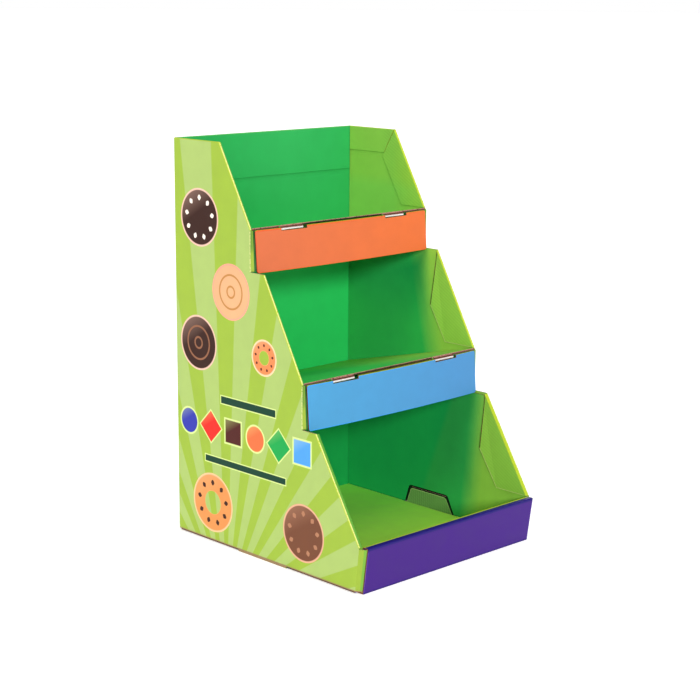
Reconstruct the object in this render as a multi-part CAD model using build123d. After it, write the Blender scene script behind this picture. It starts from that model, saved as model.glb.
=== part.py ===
from build123d import *
import math
import os
from dataclasses import dataclass

# Counter display stand of folded E-flute board, with three stepped tiers.
# The front faces -Y, +Z is up and the origin is the bottom centre of the whole stand.
# Side views are drawn as (run, height): run is measured forward from the outer back face.

# Board and folds
BOARD = 1.6                 # thickness of one sheet
FIT = 0.3                   # clearance between two sheets that slide past each other
FOLD_RADIUS = 0.6           # inside radius of a crease
HEM_ROUND = 1.2             # rounding of a folded-over edge

# Outer shell
WIDTH = 270.0               # across the two side panels
SHELL_LIFT = 2.2            # bottom edge of the panels above the counter
TOP_EDGE_RUN = 78.0         # level top edge of a side panel
TOP_SLANT_RUN = 51.0
TOP_SLANT_DROP = 89.5
TOP_UPRIGHT = 45.0          # upright edge behind the top lip
TOP_STEP_RUN = 20.5         # level edge between two tiers
MIDDLE_SLANT_RUN = 61.0
MIDDLE_SLANT_DROP = 109.0
MIDDLE_UPRIGHT = 48.0
MIDDLE_STEP_RUN = 20.0
BOTTOM_SLANT_RUN = 66.0
BOTTOM_SLANT_DROP = 108.0
BOTTOM_UPRIGHT = 50.5
FOOT_SETBACK = 5.5          # the lowest front corner leans back by this much

# Hems, folded over and glued inside the shell
BACK_HEM = 51.0
TOP_HEM = 28.0
TOP_SLANT_HEM = 32.0
MIDDLE_SLANT_HEM = 38.5
BOTTOM_SLANT_HEM = 38.0
TOP_HEM_CUT = 60.0          # angle of the upper end from the fold; it meets the top hem in a mitre
MIDDLE_HEM_CUT = 36.0
BOTTOM_HEM_CUT = 36.0
HEM_RELIEF = 0.6            # hems stop this far short of a corner of the side panel
HEM_FLAT = 7.0              # width at the fold that stays flat; the rest springs off the panel
TOP_HEM_SPRING = 0.5        # gap under the free upper corner of each slanted hem
MIDDLE_HEM_SPRING = 1.6
BOTTOM_HEM_SPRING = 1.6

# Corner flaps, folded in behind the lips
FLAP_REACH = 40.0
FLAP_KICK = 4.7             # width over which a flap swings forward to its lip
FLAP_SLIT = 1.0
FLAP_DROP = 0.5             # top edge of a flap below the lip line

# Lips of the two upper tiers
LIP_STANDOFF = 2.2          # front face ahead of the shell's upright edge, at the top
LIP_LEAN = 3.5              # the lower edge stands this much further forward
LIP_BOW = 4.5               # forward bow at mid-width
LIP_DROP = 0.5              # top edge below the lip line
LIP_SKIRT = 0.8             # lower edge below the step of the side panel
LIP_CORNER = 2.5
LIP_HEM_HALF_WIDTH = 57.0
LIP_HEM = 18.0
NOTCH_SIDE_GAP = 0.4
NOTCH_OPEN_GAP = 2.6        # the notch is longer at one end, for the tab to slide in

# Sloping shelves
SHELF_SEAT = 0.3            # underside above the lip line, at the front edge
SHELF_FLAP = 18.0           # glue flap, turned down at the sides and the back
SHELF_FLAP_TAPER = 6.0
SHELF_FLAP_FRONT_GAP = 14.0
SHELF_FLAP_BACK_GAP = 11.0
SHELF_TAB_WIDTH = 33.0
SHELF_TAB_SPACING = 156.0   # between the centres of the two tabs
SHELF_TAB_DIP = 3.0         # lower edge of a tab's end below the lip line
SHELF_TAB_END = 2.1         # height of a tab's end

# Base tray with a double front
FRONT_STANDOFF = 9.1        # top of the front ahead of the shell's upright edge
FOOT_STANDOFF = 7.4         # foot of the front ahead of the shell's foot
FRONT_RISE = 0.5            # top of the front above the lip line
FRONT_BAND = 8.5            # flat band between the two folds along the top
SIDE_INSET = 4.7            # ends of the lips and the front inside the shell's width
TRAY_WALL_GAP = 1.5         # below the shelf flaps
TRAY_STEP_GAP = 2.5         # below the step of the side panel
GLUE_FLAP = 35.0
GLUE_FLAP_MARGIN = 5.0
FRONT_LOCK_WIDTH = 30.0
FRONT_LOCK_SPACING = 130.0
FRONT_LOCK_GAP = 0.4

# Locking tab of the shell, folded up into an opening of the tray wall
OPENING_BACK = 103.5        # run of its lower rear corner
OPENING_LENGTH = 83.2
OPENING_HEIGHT = 24.0
OPENING_REAR_RAKE = 8.0
OPENING_FRONT_RAKE = 12.6
OPENING_CORNER = 5.0
TAB_MARGIN = 2.0            # gap between the tab and the opening

NEAR = 0.01                 # places closer than this count as one

HALF = WIDTH / 2
HEIGHT = (TOP_SLANT_DROP + TOP_UPRIGHT + MIDDLE_SLANT_DROP + MIDDLE_UPRIGHT
          + BOTTOM_SLANT_DROP + BOTTOM_UPRIGHT)
SHELL_INSIDE = HALF - BOARD
TRAY_OUTSIDE = SHELL_INSIDE - FIT
TRAY_INSIDE = TRAY_OUTSIDE - BOARD
LIP_HALF = HALF - SIDE_INSET


@dataclass(frozen=True)
class Tier:
    """One tier of the side panel: a slanted edge, then the upright edge behind its lip."""
    start: tuple
    slant_run: float
    slant_drop: float
    upright: float
    setback: float
    hem: float
    hem_cut: float
    spring: float

    @property
    def crease(self):
        """Upper end of the upright edge, on the lip line."""
        return (self.start[0] + self.slant_run, self.start[1] - self.slant_drop)

    @property
    def step(self):
        """Lower end of the upright edge."""
        return (self.crease[0] - self.setback, self.crease[1] - self.upright)

    def edge_run(self, height):
        """Run of the upright edge at a height."""
        return self.crease[0] - self.setback * (self.crease[1] - height) / self.upright

    def along(self, inset, distance):
        """Point inside the slanted edge by an inset, at a distance down from its upper end."""
        length = math.hypot(self.slant_run, self.slant_drop)
        right, down = self.slant_run / length, self.slant_drop / length
        return (self.start[0] + right * distance - down * inset,
                self.start[1] - down * distance - right * inset)

    def inward_run(self, inset, height):
        """Run of the line that lies inside the slanted edge by an inset, at a height."""
        run, top = self.along(inset, 0)
        return run + (top - height) * self.slant_run / self.slant_drop


TOP = Tier((TOP_EDGE_RUN, HEIGHT), TOP_SLANT_RUN, TOP_SLANT_DROP, TOP_UPRIGHT, 0.0,
           TOP_SLANT_HEM, TOP_HEM_CUT, TOP_HEM_SPRING)
MIDDLE = Tier((TOP.step[0] + TOP_STEP_RUN, TOP.step[1]), MIDDLE_SLANT_RUN, MIDDLE_SLANT_DROP,
              MIDDLE_UPRIGHT, 0.0, MIDDLE_SLANT_HEM, MIDDLE_HEM_CUT, MIDDLE_HEM_SPRING)
BOTTOM = Tier((MIDDLE.step[0] + MIDDLE_STEP_RUN, MIDDLE.step[1]), BOTTOM_SLANT_RUN,
              BOTTOM_SLANT_DROP, BOTTOM_UPRIGHT, FOOT_SETBACK, BOTTOM_SLANT_HEM, BOTTOM_HEM_CUT,
              BOTTOM_HEM_SPRING)
DEPTH = BOTTOM.crease[0] + FRONT_STANDOFF
FRONT_TOP = BOTTOM.crease[1] + FRONT_RISE
BACK_SEAT = BOARD + FIT


def near(one, other):
    """Whether two lengths are the same but for rounding."""
    return abs(one - other) < NEAR


def side_face(outline, x):
    """Face with a side-view outline of (run, height) points, at one place across the width."""
    points = [(DEPTH / 2 - run, height) for run, height in outline]
    return Plane.YZ.offset(x) * make_face(Polyline(*points, close=True))


def slab(outline, x_low, x_high):
    """Solid with a side-view outline, between two places across the width."""
    return extrude(side_face(outline, x_low), x_high - x_low, dir=(1, 0, 0))


def block(runs, heights, x_low, x_high):
    """Upright rectangular slab between two runs and two heights."""
    (back, front), (low, high) = runs, heights
    return slab([(back, low), (front, low), (front, high), (back, high)], x_low, x_high)


def both_sides(solid):
    """The solid with its mirror image on the other side of the stand."""
    return solid + mirror(solid, about=Plane.YZ)


def shelf_slope(tier):
    """Rise of a shelf for each unit of run: it falls by the lip's height towards the back."""
    return tier.upright / (tier.crease[0] - BACK_SEAT)


def shelf_underside(tier, run):
    """Height of the underside of a shelf at a run; at the front it lies on the lip line."""
    return tier.crease[1] + SHELF_SEAT - (tier.crease[0] - run) * shelf_slope(tier)


# Outer shell: side panels, back panel, hems, corner flaps and locking tabs

def side_panel_outline():
    """Stepped outline of a side panel, from the bottom of the back edge round to the foot."""
    return [(0, SHELL_LIFT), (0, HEIGHT), TOP.start, TOP.crease, TOP.step,
            MIDDLE.start, MIDDLE.crease, MIDDLE.step,
            BOTTOM.start, BOTTOM.crease, (BOTTOM.edge_run(SHELL_LIFT), SHELL_LIFT)]


def top_hem_outline():
    """Hem along the level top edge, mitred at the slanted edge."""
    half_angle = (math.pi - math.atan2(TOP_SLANT_DROP, TOP_SLANT_RUN)) / 2
    mitre = TOP_HEM / math.tan(half_angle)
    back, front = 2 * BOARD + FIT, TOP_EDGE_RUN - HEM_RELIEF
    return [(back, HEIGHT), (front, HEIGHT),
            (front - mitre, HEIGHT - TOP_HEM), (back, HEIGHT - TOP_HEM)]


def slant_hem(tier, floor, x):
    """Hem along a slanted edge of the right side panel, against a plane across the width.

    It is cut at an angle at its upper end and level at a floor height. The strip beside its
    fold lies flat, and the rest springs off the panel towards its free upper corner.
    """
    def on_cut(inset):
        return tier.along(inset, HEM_RELIEF + inset / math.tan(math.radians(tier.hem_cut)))

    low_inner = (tier.inward_run(tier.hem, floor), floor)
    low_outer = (tier.inward_run(0, floor), floor)
    flat = slab([on_cut(0), on_cut(HEM_FLAT), low_inner, low_outer], x - BOARD, x)
    corners = [(on_cut(HEM_FLAT), x), (on_cut(tier.hem), x - tier.spring), (low_inner, x)]
    points = [(across, DEPTH / 2 - run, height) for (run, height), across in corners]
    leaf = extrude(make_face(Polyline(*points, close=True)), BOARD, dir=(-1, 0, 0))
    return flat + leaf


def shell_hems():
    """Hems of the right side panel; the lowest one leaves a slot for the tray wall."""
    shelf_top = SHELF_SEAT + BOARD + FIT
    hems = slab(top_hem_outline(), SHELL_INSIDE - BOARD, SHELL_INSIDE)
    for tier in (TOP, MIDDLE):
        hems += slant_hem(tier, tier.crease[1] + shelf_top, SHELL_INSIDE)
    inner = TRAY_INSIDE - FIT
    hems += slant_hem(BOTTOM, FRONT_TOP, inner)
    fold = [BOTTOM.along(0, HEM_RELIEF), (BOTTOM.inward_run(0, FRONT_TOP), FRONT_TOP),
            (BOTTOM.inward_run(BOARD, FRONT_TOP), FRONT_TOP), BOTTOM.along(BOARD, HEM_RELIEF)]
    return hems + slab(fold, inner - BOARD, SHELL_INSIDE)


def corner_flap(tier, high, low, run_high, run_low):
    """Flap from the upright edge of the right side panel to the plane behind its lip.

    It swings forward over a short width and then lies along the lip. run_high and run_low
    are the runs of its front face at its top and bottom.
    """
    root = [(tier.edge_run(high), high), (tier.edge_run(low), low),
            (tier.edge_run(low) - BOARD, low), (tier.edge_run(high) - BOARD, high)]
    along = [(run_high, high), (run_low, low), (run_low - BOARD, low), (run_high - BOARD, high)]
    bend = HALF - FLAP_KICK
    swing = loft([side_face(root, HALF), side_face(along, bend)], ruled=True)
    return swing + slab(along, HALF - FLAP_REACH, bend)


def lip_back_run(tier, height):
    """Run of a lip's back face at its ends, at a height."""
    top = tier.crease[1] - LIP_DROP
    full = top - (tier.step[1] - LIP_SKIRT)
    return tier.crease[0] + LIP_STANDOFF - BOARD + LIP_LEAN * (top - height) / full


def upper_corner_flap(tier):
    """Corner flap behind one of the two upper lips."""
    high = tier.crease[1] - FLAP_DROP
    low = tier.step[1] + FLAP_SLIT
    return corner_flap(tier, high, low, lip_back_run(tier, high) - FIT, lip_back_run(tier, low) - FIT)


def front_panel_run(height):
    """Run of the front face of the tray at a height."""
    foot = BOTTOM.edge_run(0) + FOOT_STANDOFF
    return foot + (DEPTH - foot) * height / FRONT_TOP


def lower_corner_flap():
    """Corner flap inside the double front of the tray."""
    high = FRONT_TOP - BOARD - FIT
    setback = BOARD + FIT
    return corner_flap(BOTTOM, high, SHELL_LIFT,
                       front_panel_run(high) - setback, front_panel_run(SHELL_LIFT) - setback)


def opening_outline(margin, low):
    """Opening of the tray wall, or the tab inside it with a margin, down to a height."""
    back, front = OPENING_BACK + margin, OPENING_BACK + OPENING_LENGTH - margin
    high = OPENING_HEIGHT - margin
    return [(back, low), (back + OPENING_REAR_RAKE, high),
            (front - OPENING_FRONT_RAKE, high), (front, low)]


def round_top(solid, high, radius):
    """Round the two upper corners of a trapezoid that is extruded across the width."""
    corners = [e for e in solid.edges().filter_by(Axis.X) if e.center().Z > high - radius]
    return fillet(corners, radius)


def locking_tab():
    """Tab that runs under the tray wall and turns up inside its opening."""
    back, front = OPENING_BACK + TAB_MARGIN, OPENING_BACK + OPENING_LENGTH - TAB_MARGIN
    down = block((back, front), (0, SHELL_LIFT), SHELL_INSIDE, HALF)
    under = block((back, front), (0, BOARD), TRAY_INSIDE, HALF)
    upright = slab(opening_outline(TAB_MARGIN, 0), TRAY_INSIDE, TRAY_OUTSIDE)
    upright = round_top(upright, OPENING_HEIGHT - TAB_MARGIN, OPENING_CORNER - TAB_MARGIN / 2)
    return down + under + upright


def on_rim(edge):
    """Whether an edge lies along the folded-over top or one of the slanted edges."""
    middle = edge @ 0.5
    run = DEPTH / 2 - middle.Y
    on_slant = [tier.crease[1] < middle.Z < tier.start[1] and near(run, tier.inward_run(0, middle.Z))
                for tier in (TOP, MIDDLE, BOTTOM)]
    return edge.length > TOP_HEM and (near(middle.Z, HEIGHT) or any(on_slant))


def shell_walls():
    """Two side panels and the back with their hems; the folds are rounded."""
    side = slab(side_panel_outline(), SHELL_INSIDE, HALF) + shell_hems()
    hem_half = SHELL_INSIDE - BOARD - FIT
    back = block((0, BOARD), (SHELL_LIFT, HEIGHT), -HALF, HALF)
    back += block((BOARD, 2 * BOARD), (HEIGHT - BACK_HEM, HEIGHT), -hem_half, hem_half)
    walls = back + both_sides(side)
    corners = [e for e in walls.edges().filter_by(Axis.Z)
               if near(e.center().Y, DEPTH / 2) and near(abs(e.center().X), HALF)]
    walls = fillet(corners, BOARD + FOLD_RADIUS)
    return fillet(walls.edges().filter_by(on_rim), HEM_ROUND)


def outer_shell():
    """One sheet: the walls with their corner flaps and locking tabs."""
    details = upper_corner_flap(TOP) + upper_corner_flap(MIDDLE) + lower_corner_flap()
    return shell_walls() + both_sides(details + locking_tab())


# Base tray: floor, side and back walls, and a front that rolls over

def tray_rear_height():
    """Top of the tray's back wall, below the rear flap of the middle shelf."""
    return shelf_underside(MIDDLE, BACK_SEAT) - SHELF_FLAP - TRAY_WALL_GAP


def tray_front_edge():
    """Run of the lower front corner of a tray wall, behind the shell's corner flap."""
    return BOTTOM.edge_run(0) - BOARD - FIT


def tray_wall_outline():
    """Wall inside the shell: below the shelf flaps, then along the lowest slanted edge."""
    rear = tray_rear_height()
    high = MIDDLE.step[1] - TRAY_STEP_GAP
    meet = BACK_SEAT + (high - rear) / shelf_slope(MIDDLE)
    behind = BOARD + FIT
    low = BOTTOM.crease[1]
    return [(BACK_SEAT, 0), (BACK_SEAT, rear), (meet, high), (BOTTOM.inward_run(behind, high), high),
            (BOTTOM.inward_run(behind, low), low), (tray_front_edge(), 0)]


def tray_walls():
    """Two side walls with glue flaps round the rear corners, and the back wall."""
    rear = tray_rear_height()
    wall = slab(tray_wall_outline(), TRAY_INSIDE, TRAY_OUTSIDE)
    wall += block((BACK_SEAT, BACK_SEAT + BOARD), (GLUE_FLAP_MARGIN, rear - GLUE_FLAP_MARGIN),
                  TRAY_INSIDE - GLUE_FLAP, TRAY_INSIDE)
    back_half = TRAY_INSIDE - FIT
    back = block((BACK_SEAT + BOARD, BACK_SEAT + 2 * BOARD), (0, rear), -back_half, back_half)
    return both_sides(wall) + back


def tray_front():
    """Front panel, the flat band along its top and the panel that returns to the floor."""
    foot = front_panel_run(0)
    outer = [(foot, 0), (DEPTH, FRONT_TOP), (DEPTH - BOARD, FRONT_TOP), (foot - BOARD, 0)]
    back = DEPTH - FRONT_BAND
    inner_foot = foot - 2 * (BOARD + FIT)
    inner = [(back + BOARD, FRONT_TOP), (back, FRONT_TOP),
             (inner_foot - BOARD, BOARD + FIT), (inner_foot, BOARD + FIT)]
    front = slab(outer, -LIP_HALF, LIP_HALF)
    front += block((back, DEPTH - BOARD), (FRONT_TOP - BOARD, FRONT_TOP), -LIP_HALF, LIP_HALF)
    front += slab(inner, -LIP_HALF, LIP_HALF)
    rims = [e for e in front.edges().filter_by(Axis.X)
            if near(e.center().Z, FRONT_TOP) and near(e.length, 2 * LIP_HALF)]
    return fillet(rims, HEM_ROUND)


def front_lock(x, gap):
    """Tab of the inner front panel that goes down through the floor, or its slot with a gap."""
    half = FRONT_LOCK_WIDTH / 2 + gap
    inner_foot = front_panel_run(0) - 2 * (BOARD + FIT)
    return block((inner_foot - BOARD - gap, inner_foot + gap), (0, BOARD + FIT), x - half, x + half)


def base_tray():
    """One sheet: floor, side and back walls and the double front."""
    front_edge = tray_front_edge()
    floor = block((BACK_SEAT, front_edge), (0, BOARD), -TRAY_OUTSIDE, TRAY_OUTSIDE)
    floor += block((front_edge - BOARD, front_panel_run(0) - FIT), (0, BOARD), -LIP_HALF, LIP_HALF)
    locks = (-FRONT_LOCK_SPACING / 2, FRONT_LOCK_SPACING / 2)
    for x in locks:
        floor -= front_lock(x, FRONT_LOCK_GAP)
    tray = floor + tray_walls() + tray_front()
    for x in locks:
        tray += front_lock(x, 0)
    opening = slab(opening_outline(0, -BOARD), TRAY_INSIDE - FIT, HALF)
    opening = round_top(opening, OPENING_HEIGHT, OPENING_CORNER)
    return tray - both_sides(opening)


# Sloping shelves and their lips

def tab_places():
    """Places across the width of the two tabs of a shelf."""
    return (-SHELF_TAB_SPACING / 2, SHELF_TAB_SPACING / 2)


def shelf_outline(tier):
    """Side view of the sheet of a shelf, cut square at its front edge."""
    front, low = tier.crease[0], shelf_underside(tier, BACK_SEAT)
    angle = math.atan(shelf_slope(tier))
    across, up = BOARD * math.sin(angle), BOARD * math.cos(angle)
    high = shelf_underside(tier, front)
    return [(BACK_SEAT, low), (front, high), (front - across, high + up),
            (BACK_SEAT, low + BOARD / math.cos(angle))]


def shelf_side_flap(tier):
    """Glue flap turned down from the right edge of a shelf."""
    back = BACK_SEAT + SHELF_FLAP_BACK_GAP
    front = tier.crease[0] - SHELF_FLAP_FRONT_GAP
    upper = [(run, shelf_underside(tier, run)) for run in (back, front)]
    lower = [(run, shelf_underside(tier, run) - SHELF_FLAP)
             for run in (front - SHELF_FLAP_TAPER, back + SHELF_FLAP_TAPER)]
    return slab(upper + lower, TRAY_INSIDE, TRAY_OUTSIDE)


def shelf_back_flap(tier):
    """Glue flap turned down along the back panel."""
    high = shelf_underside(tier, BACK_SEAT + BOARD)
    low = shelf_underside(tier, BACK_SEAT) - SHELF_FLAP
    half = TRAY_INSIDE - SHELF_FLAP_TAPER
    return block((BACK_SEAT, BACK_SEAT + BOARD), (low, high), -half, half)


def shelf_tab(tier, x):
    """Tab at the front edge of a shelf, bent down into the notch of the lip."""
    run, height = tier.crease
    root, front = run - BOARD, run + LIP_STANDOFF
    low = height - SHELF_TAB_DIP
    outline = [(root, shelf_underside(tier, root)), (run, shelf_underside(tier, run)),
               (front, low), (front, low + SHELF_TAB_END),
               (run, shelf_underside(tier, run) + BOARD), (root, shelf_underside(tier, root) + BOARD)]
    return slab(outline, x - SHELF_TAB_WIDTH / 2, x + SHELF_TAB_WIDTH / 2)


def shelf(tier):
    """Shelf that falls towards the back panel, with its glue flaps and front tabs."""
    solid = slab(shelf_outline(tier), -TRAY_OUTSIDE, TRAY_OUTSIDE)
    solid += both_sides(shelf_side_flap(tier)) + shelf_back_flap(tier)
    for x in tab_places():
        solid += shelf_tab(tier, x)
    return solid


def lip_sheet(tier, run, drop):
    """Sheet as wide as a lip, bowed forward at mid-width and drawn down along its lean."""
    y, high = DEPTH / 2 - run, tier.crease[1] - LIP_DROP
    full = high - (tier.step[1] - LIP_SKIRT)
    front = ThreePointArc((-LIP_HALF, y), (0, y - LIP_BOW), (LIP_HALF, y))
    back = Pos(0, BOARD, 0) * front
    ends = [Line((x, y), (x, y + BOARD)) for x in (-LIP_HALF, LIP_HALF)]
    face = Pos(0, 0, high) * make_face([front, back, *ends])
    length = math.hypot(full, LIP_LEAN)
    return extrude(face, length * drop / full, dir=(0, -LIP_LEAN / length, -full / length))


def lip(tier):
    """Bowed and leaning lip with a folded top, notched for the tabs of the shelf."""
    high, low = tier.crease[1] - LIP_DROP, tier.step[1] - LIP_SKIRT
    run = tier.crease[0] + LIP_STANDOFF
    panel = lip_sheet(tier, run, high - low)
    corners = [e for e in panel.edges() if near(abs(e.center().X), LIP_HALF) and near(e.length, BOARD)]
    panel = fillet(corners, LIP_CORNER)
    runs = (run - 2 * BOARD - FIT, run + LIP_LEAN + LIP_BOW + FIT)
    hem = lip_sheet(tier, run - BOARD, LIP_HEM)
    hem &= block(runs, (low, high), -LIP_HEM_HALF_WIDTH, LIP_HEM_HALF_WIDTH)
    solid = panel + hem
    notch_floor = tier.crease[1] - SHELF_TAB_DIP - NOTCH_SIDE_GAP
    for x in tab_places():
        start = x - SHELF_TAB_WIDTH / 2 - NOTCH_SIDE_GAP
        end = x + SHELF_TAB_WIDTH / 2 + NOTCH_OPEN_GAP
        solid -= block(runs, (notch_floor, high + BOARD), start, end)
    return solid


NODES = {
    "outer_shell": outer_shell,
    "base_tray": base_tray,
    "middle_shelf": lambda: shelf(MIDDLE),
    "middle_lip": lambda: lip(MIDDLE),
    "top_shelf": lambda: shelf(TOP),
    "top_lip": lambda: lip(TOP),
}

os.makedirs("parts", exist_ok=True)
for name, build in NODES.items():
    export_step(build(), f"parts/{name}.step")
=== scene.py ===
"""Looks of a corrugated counter display stand with three stepped tiers.

Sizes are in millimetres. Places on the stand are given as (across, run, height): across is the
distance from the middle to either side, run is measured forward from the outer back face.
"""

import logging
import math
from dataclasses import dataclass
from enum import Enum

import bpy
from mathutils import Matrix, Vector


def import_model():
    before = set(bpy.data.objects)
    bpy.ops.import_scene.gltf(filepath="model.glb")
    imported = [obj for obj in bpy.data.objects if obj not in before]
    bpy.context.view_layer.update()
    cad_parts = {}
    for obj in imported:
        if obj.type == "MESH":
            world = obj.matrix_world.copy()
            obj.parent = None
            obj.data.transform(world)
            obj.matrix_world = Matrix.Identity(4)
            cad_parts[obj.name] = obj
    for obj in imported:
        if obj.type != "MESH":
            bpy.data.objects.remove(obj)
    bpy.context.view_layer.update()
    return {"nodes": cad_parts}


LOG = logging.getLogger("display_stand")
Triple = tuple[float, float, float]
Feed = bpy.types.Node | bpy.types.NodeSocket | float | tuple

METRE = 1000.0              # in millimetres
HALF_DEPTH = 152.8          # the back face lies this far behind the origin
SPECK_BLUR = 0.03           # step of noise over which the edge of a speck fades
NOISE_RANGE = {"From Min": 0.3, "From Max": 0.7}    # values that fine noise keeps to
WHITE = "#FFFFFF"
FORWARD: Triple = (0.0, 1.0, 0.0)
BACKWARD: Triple = (0.0, -1.0, 0.0)
UP: Triple = (0.0, 0.0, 1.0)
DOWN: Triple = (0.0, 0.0, -1.0)
OUTWARD: Triple = (1.0, 0.0, 0.0)
INWARD: Triple = (-1.0, 0.0, 0.0)


def linear(hex_colour: str) -> tuple[float, float, float, float]:
    """Turn an sRGB hex colour into linear red, green and blue with full opacity.

    Args:
        hex_colour: Colour such as "#A0C040".

    Returns:
        Linear red, green, blue and 1.
    """
    parts = [int(hex_colour[i:i + 2], 16) / 255 for i in (1, 3, 5)]
    # the transfer curve of the sRGB standard
    red, green, blue = [c / 12.92 if c <= 0.04045 else ((c + 0.055) / 1.055) ** 2.4
                        for c in parts]
    return red, green, blue, 1.0


def add_node(tree: bpy.types.NodeTree, kind: str, links: dict[int | str, Feed] | None = None,
             **settings: object) -> bpy.types.Node:
    """Add a node to a tree, set its properties and fill its inputs.

    Args:
        tree: Tree that gets the node.
        kind: Type of the node, without the leading "ShaderNode".
        links: What each input gets, by its name or number: a node, a socket or a constant.
        settings: Properties of the node by name.

    Returns:
        The new node.
    """
    node = tree.nodes.new("ShaderNode" + kind)
    for name, value in settings.items():
        setattr(node, name, value)
    for key, value in (links or {}).items():
        socket = (next(s for s in node.inputs if s.enabled and s.name == key)
                  if isinstance(key, str) else node.inputs[key])
        if isinstance(value, bpy.types.Node):
            value = next(s for s in value.outputs if s.enabled)
        if isinstance(value, bpy.types.NodeSocket):
            tree.links.new(value, socket)
        else:
            socket.default_value = value
    return node


class Measure(Enum):
    """What a limit of a printed area is measured on."""
    PLACE = "place"
    FACING = "facing"
    POINT = "point"             # like the place, but with the left side apart from the right


class Outline(Enum):
    """Outline of a printed motif."""
    DISC = "disc"
    SQUARE = "square"
    DIAMOND = "diamond"


class Mark(Enum):
    """Marks inside a printed motif."""
    PLAIN = "plain"
    DOTS = "ring of dots"
    RINGS = "concentric rings"
    OPEN = "open centre"


@dataclass(frozen=True)
class Limit:
    """Side of a plane that bounds a printed area: along a direction, beyond a value."""
    toward: Triple
    beyond: float
    soft: float = 0.3
    of: Measure = Measure.PLACE


@dataclass(frozen=True)
class Area:
    """Printed area inside several limits, with its ink."""
    ink: str
    limits: tuple[Limit, ...]
    cover: float = 1.0


@dataclass(frozen=True)
class Sunburst:
    """Rays about a centre in the printed plane, at an even spacing."""
    ink: str
    run: float
    height: float = -74.0       # the rays meet below the stand
    count: float = 33.0
    turn: float = -5.0          # degrees of the middle of one ray, from straight up
    share: float = 0.53         # of the turn that the rays take up
    blur: float = 0.05          # step of their wave over which an edge fades


@dataclass(frozen=True)
class Motif:
    """Printed motif on a side panel, about a (run, height) centre."""
    run: float
    height: float
    radius: float
    body: str
    rim: str
    mark_ink: str
    mark: Mark = Mark.PLAIN
    outline: Outline = Outline.DISC


@dataclass(frozen=True)
class MotifStyle:
    """What all motifs share: lengths in millimetres, or shares of the radius."""
    blur: float = 0.3           # half of the length over which the outline fades
    rim: float = 2.0            # width of the rim
    rim_blur: float = 0.4
    opening: float = 0.4        # share: radius of an open centre
    shaded_side: Triple = (0.0, -0.5, 0.86)
    shade_start: float = 0.2    # share: distance at which the shade starts
    shade: float = 0.2          # strongest cover of the shade
    rings: float = 5.0          # how many rings fit in the radius
    ring: float = 1.1           # half of the width of a ring
    ring_blur: float = 0.2
    dots: float = 9.0           # how many dots stand round the centre
    belt: float = 0.68          # share: distance of the dots from the centre
    swell: float = 0.16         # share: how far a dot reaches from the belt
    spacing: float = 0.055      # share: taken off, so that the dots stay apart
    dot_blur: float = 0.5


@dataclass(frozen=True)
class CoatedPrint:
    """Clay-coated liner, offset-printed and water-varnished: smooth ink with a soft satin sheen."""
    roughness: float = 0.55
    roughness_change: float = 0.05
    cut_roughness: float = 0.93
    varnish: float = 0.04
    varnish_roughness: float = 0.35
    ior: float = 1.45
    specular: float = 0.2
    mottle: float = 0.035       # change of value of the ink
    mottle_size: float = 22.0
    washboard: float = 0.012    # height of the flutes that show through the liner
    fibre: float = 0.006        # height of the paper's fibres
    fibre_scale: float = 0.9    # fibres to a millimetre


@dataclass(frozen=True)
class KraftLiner:
    """Unbleached kraft liner without ink: dull brown paper with a grain of fibres.

    Real fibres are 1 to 3 mm long and thinner than a pixel, so flecks of that length stand for
    tufts of them.
    """
    flecks: tuple[tuple[str, float, float, float], ...] = (
        ("#8A6242", 1.6, 0.60, 0.35), ("#D2B28C", 2.3, 0.62, 0.30))    # ink, size, level, cover
    valley: str = "#6A4628"
    tint: float = 0.30          # how much darker the liner is between the flutes, as painted shade


@dataclass(frozen=True)
class CutEdge:
    """Cut edge of E-flute board: two pale liners and a wavy medium over hollow cells, dark with
    painted shade.

    Real flutes are 1.1 to 1.3 mm high at a pitch of 3.2 mm, and are drawn at that size.
    """
    liner: str = "#C9A48E"
    medium: str = "#A9806A"
    cell: str = "#3B241C"
    board: float = 1.6
    pitch: float = 3.2
    liner_share: float = 0.2    # of the board, like the next three
    liner_blur: float = 0.04
    medium_share: float = 0.17
    swing: float = 0.3          # how far the medium's waves reach from the middle
    crisp: float = 0.6          # part of the medium's line that is fully drawn
    relief: float = 0.25        # depth of the cells


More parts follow.
